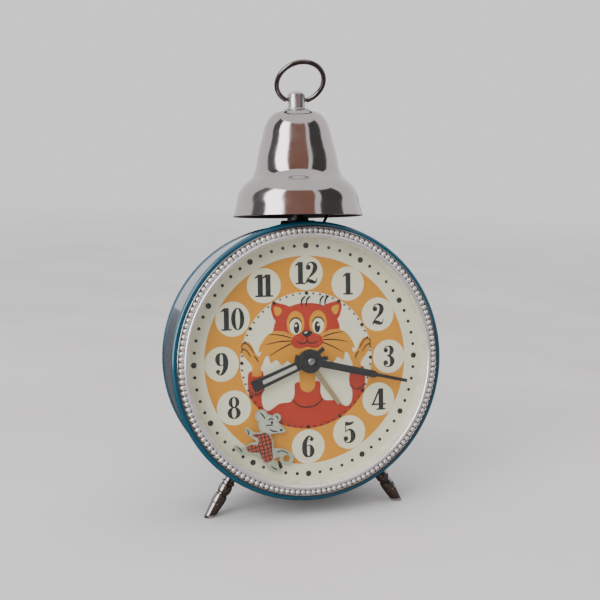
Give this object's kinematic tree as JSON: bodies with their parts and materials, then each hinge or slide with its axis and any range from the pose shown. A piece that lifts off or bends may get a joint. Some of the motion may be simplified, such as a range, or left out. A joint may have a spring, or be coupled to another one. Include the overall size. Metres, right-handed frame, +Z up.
{
  "type": "wind-up bell alarm clock",
  "caption": "Round wind-up alarm clock on two splayed legs, leaning back, with a top bell, a carrying ring, a cat dial and a mouse that rocks with the ticking.",
  "frame": {"origin": "on the table, under the middle of the clock's box", "axes": "+Z up, the dial faces -Y, +X to the right of a viewer in front"},
  "size_m": [0.1066, 0.0561, 0.1721],
  "materials": {
    "case_paint": "glossy teal enamel",
    "bezel_chrome": "bright, beaded",
    "bell_chrome": "bright with light pitting",
    "leg_chrome": "bright turned",
    "crystal_glass": "clear",
    "retainer_white": "satin",
    "dial_print": "cream paint under the printed picture",
    "hand_black": "satin black",
    "pin_steel": "turned",
    "alarm_hand_brass": "dull",
    "mouse_paint": "printed, satin",
    "dark_steel": "blackened",
    "bright_steel": "satin",
    "movement_brass": "stamped",
    "spring_steel": "blued",
    "key_brass": "polished",
    "button_plastic": "ivory"
  },
  "bodies": {
    "case": {"case_drum": "case_paint", "bezel_ring": "bezel_chrome", "crystal": "crystal_glass", "glass_retainer": "retainer_white", "dial_plate": "dial_print", "leg_left": "leg_chrome", "leg_right": "leg_chrome", "rear_foot": "leg_chrome", "inner_nuts": "bright_steel", "bell": "bell_chrome", "bell_post": "dark_steel", "bell_washer": "bright_steel", "finial": "leg_chrome", "back_cover": "case_paint", "cover_screws": "bright_steel", "movement_posts": "movement_brass", "stop_spring": "bright_steel", "front_plate": "movement_brass", "back_plate": "movement_brass", "pillars": "movement_brass", "pillar_nuts": "movement_brass", "time_mainspring": "spring_steel", "alarm_mainspring": "spring_steel", "hairspring": "spring_steel", "balance_bearings": "bright_steel"},
    "minute_hand_shaft": {"centre_arbor": "bright_steel", "cannon_pinion": "movement_brass", "minute_hand": "hand_black", "hand_cap": "pin_steel", "time_set_knob": "key_brass"},
    "hour_hand_pipe": {"hour_wheel": "movement_brass", "hour_hand": "hand_black"},
    "minute_wheel": {"minute_wheel": "movement_brass"},
    "alarm_hand_pipe": {"alarm_wheel": "movement_brass", "alarm_hand": "alarm_hand_brass"},
    "alarm_setter": {"alarm_set_arbor": "bright_steel", "alarm_set_knob": "key_brass"},
    "time_winder": {"time_arbor": "bright_steel", "time_key": "key_brass"},
    "time_great_wheel": {"time_great_wheel": "movement_brass"},
    "time_click": {"time_click": "bright_steel"},
    "centre_wheel": {"centre_wheel": "movement_brass"},
    "third_wheel": {"third_wheel": "movement_brass"},
    "fourth_wheel": {"fourth_wheel": "movement_brass"},
    "escape_wheel": {"escape_wheel": "movement_brass"},
    "mouse_rocker": {"mouse_figure": "mouse_paint", "pallet_arbor": "movement_brass", "pallet_lever": "bright_steel"},
    "balance": {"balance_wheel": "movement_brass"},
    "regulator": {"regulator_lever": "bright_steel"},
    "alarm_winder": {"alarm_arbor": "bright_steel", "alarm_key": "key_brass"},
    "alarm_great_wheel": {"alarm_great_wheel": "movement_brass"},
    "alarm_click": {"alarm_click": "bright_steel"},
    "alarm_escape_wheel": {"alarm_escape_wheel": "movement_brass"},
    "hammer": {"alarm_verge": "bright_steel", "hammer_arm": "bright_steel", "hammer_head": "bright_steel"},
    "stop_button": {"stop_button": "button_plastic"},
    "carry_ring": {"carry_ring": "pin_steel"}
  },
  "joints": [
    {"name": "minute_hand_turn", "type": "hinge", "parent": "case", "child": "minute_hand_shaft", "pos_m": [0, -0.00532, 0.05759], "axis": [0, 0.9914, -0.1305], "continuous": true},
    {"name": "hour_hand_turn", "type": "hinge", "parent": "case", "child": "hour_hand_pipe", "pos_m": [0, -0.00532, 0.05759], "axis": [0, 0.9914, -0.1305], "continuous": true},
    {"name": "minute_wheel_turn", "type": "hinge", "parent": "case", "child": "minute_wheel", "pos_m": [0.0054, -0.00409, 0.06687], "axis": [0, 0.9914, -0.1305], "continuous": true},
    {"name": "alarm_setting_turn", "type": "hinge", "parent": "case", "child": "alarm_setter", "pos_m": [0.01477, -0.00498, 0.06018], "axis": [0, 0.9914, -0.1305], "continuous": true},
    {"name": "alarm_hand_turn", "type": "hinge", "parent": "case", "child": "alarm_hand_pipe", "pos_m": [0, -0.00532, 0.05759], "axis": [0, 0.9914, -0.1305], "continuous": true},
    {"name": "time_winding_turn", "type": "hinge", "parent": "case", "child": "time_winder", "pos_m": [-0.01183, -0.00241, 0.07965], "axis": [0, 0.9914, -0.1305], "continuous": true, "deforming": ["time_mainspring"]},
    {"name": "fourth_wheel_turn", "type": "hinge", "parent": "case", "child": "fourth_wheel", "pos_m": [-0.01664, -0.00761, 0.04016], "axis": [0, 0.9914, -0.1305], "continuous": true},
    {"name": "third_wheel_turn", "type": "hinge", "parent": "case", "child": "third_wheel", "pos_m": [-0.01233, -0.00607, 0.0519], "axis": [0, 0.9914, -0.1305], "continuous": true},
    {"name": "centre_wheel_turn", "type": "hinge", "parent": "case", "child": "centre_wheel", "pos_m": [0, -0.00532, 0.05759], "axis": [0, 0.9914, -0.1305], "continuous": true},
    {"name": "time_great_wheel_turn", "type": "hinge", "parent": "case", "child": "time_great_wheel", "pos_m": [-0.01183, -0.00241, 0.07965], "axis": [0, 0.9914, -0.1305], "continuous": true},
    {"name": "time_click_lift", "type": "hinge", "parent": "time_great_wheel", "child": "time_click", "pos_m": [-0.01991, -0.0028, 0.07674], "axis": [0, 0.9914, -0.1305], "range_deg": [0, 12], "stiffness_Nm_per_rad": 0.0001, "springref_deg": -22.92},
    {"name": "escape_wheel_turn", "type": "hinge", "parent": "case", "child": "escape_wheel", "pos_m": [-0.01086, -0.00892, 0.03024], "axis": [0, 0.9914, -0.1305], "continuous": true},
    {"name": "mouse_rock", "type": "hinge", "parent": "case", "child": "mouse_rocker", "pos_m": [-0.01735, -0.00965, 0.02465], "axis": [0, 0.9914, -0.1305], "range_deg": [-6, 6]},
    {"name": "balance_swing", "type": "hinge", "parent": "case", "child": "balance", "pos_m": [-0.00647, -0.01032, 0.01962], "axis": [0, 0.9914, -0.1305], "range_deg": [-220, 220], "stiffness_Nm_per_rad": 0.000024, "deforming": ["hairspring"]},
    {"name": "regulator_turn", "type": "hinge", "parent": "case", "child": "regulator", "pos_m": [-0.00647, -0.01032, 0.01962], "axis": [0, 0.9914, -0.1305], "range_deg": [-20, 20]},
    {"name": "alarm_winding_turn", "type": "hinge", "parent": "case", "child": "alarm_winder", "pos_m": [0.0182, -0.00812, 0.03628], "axis": [0, 0.9914, -0.1305], "continuous": true, "deforming": ["alarm_mainspring"]},
    {"name": "alarm_great_wheel_turn", "type": "hinge", "parent": "case", "child": "alarm_great_wheel", "pos_m": [0.0182, -0.00812, 0.03628], "axis": [0, 0.9914, -0.1305], "continuous": true},
    {"name": "alarm_click_lift", "type": "hinge", "parent": "alarm_great_wheel", "child": "alarm_click", "pos_m": [0.02628, -0.00774, 0.03919], "axis": [0, 0.9914, -0.1305], "range_deg": [0, 12], "stiffness_Nm_per_rad": 0.0001, "springref_deg": -22.92},
    {"name": "alarm_escape_wheel_turn", "type": "hinge", "parent": "case", "child": "alarm_escape_wheel", "pos_m": [0.02348, -0.00555, 0.05581], "axis": [0, 0.9914, -0.1305], "continuous": true},
    {"name": "hammer_swing", "type": "hinge", "parent": "case", "child": "hammer", "pos_m": [0.02428, -0.00435, 0.0649], "axis": [0, 0.9914, -0.1305], "range_deg": [-2, 1.5]},
    {"name": "stop_button_press", "type": "slide", "parent": "case", "child": "stop_button", "axis": [0, -0.9914, 0.1305], "range_m": [0, 0.0035], "stiffness_N_per_m": 80, "springref_m": -0.0015, "deforming": ["stop_spring"]},
    {"name": "carry_ring_swing", "type": "hinge", "parent": "case", "child": "carry_ring", "pos_m": [0, 0.00783, 0.15743], "axis": [1, 0, 0], "range_deg": [-142, 52]}
  ],
  "couplings": [
    {"joint": "hour_hand_turn", "follows": "minute_hand_turn", "ratio": 0.083333},
    {"joint": "minute_wheel_turn", "follows": "minute_hand_turn", "ratio": -0.33333},
    {"joint": "alarm_hand_turn", "follows": "alarm_setting_turn", "ratio": -0.25},
    {"joint": "third_wheel_turn", "follows": "fourth_wheel_turn", "ratio": -0.125},
    {"joint": "centre_wheel_turn", "follows": "fourth_wheel_turn", "ratio": 0.016667},
    {"joint": "time_great_wheel_turn", "follows": "fourth_wheel_turn", "ratio": -0.0027778},
    {"joint": "escape_wheel_turn", "follows": "fourth_wheel_turn", "ratio": -10},
    {"joint": "alarm_escape_wheel_turn", "follows": "alarm_great_wheel_turn", "ratio": -7.5}
  ]
}
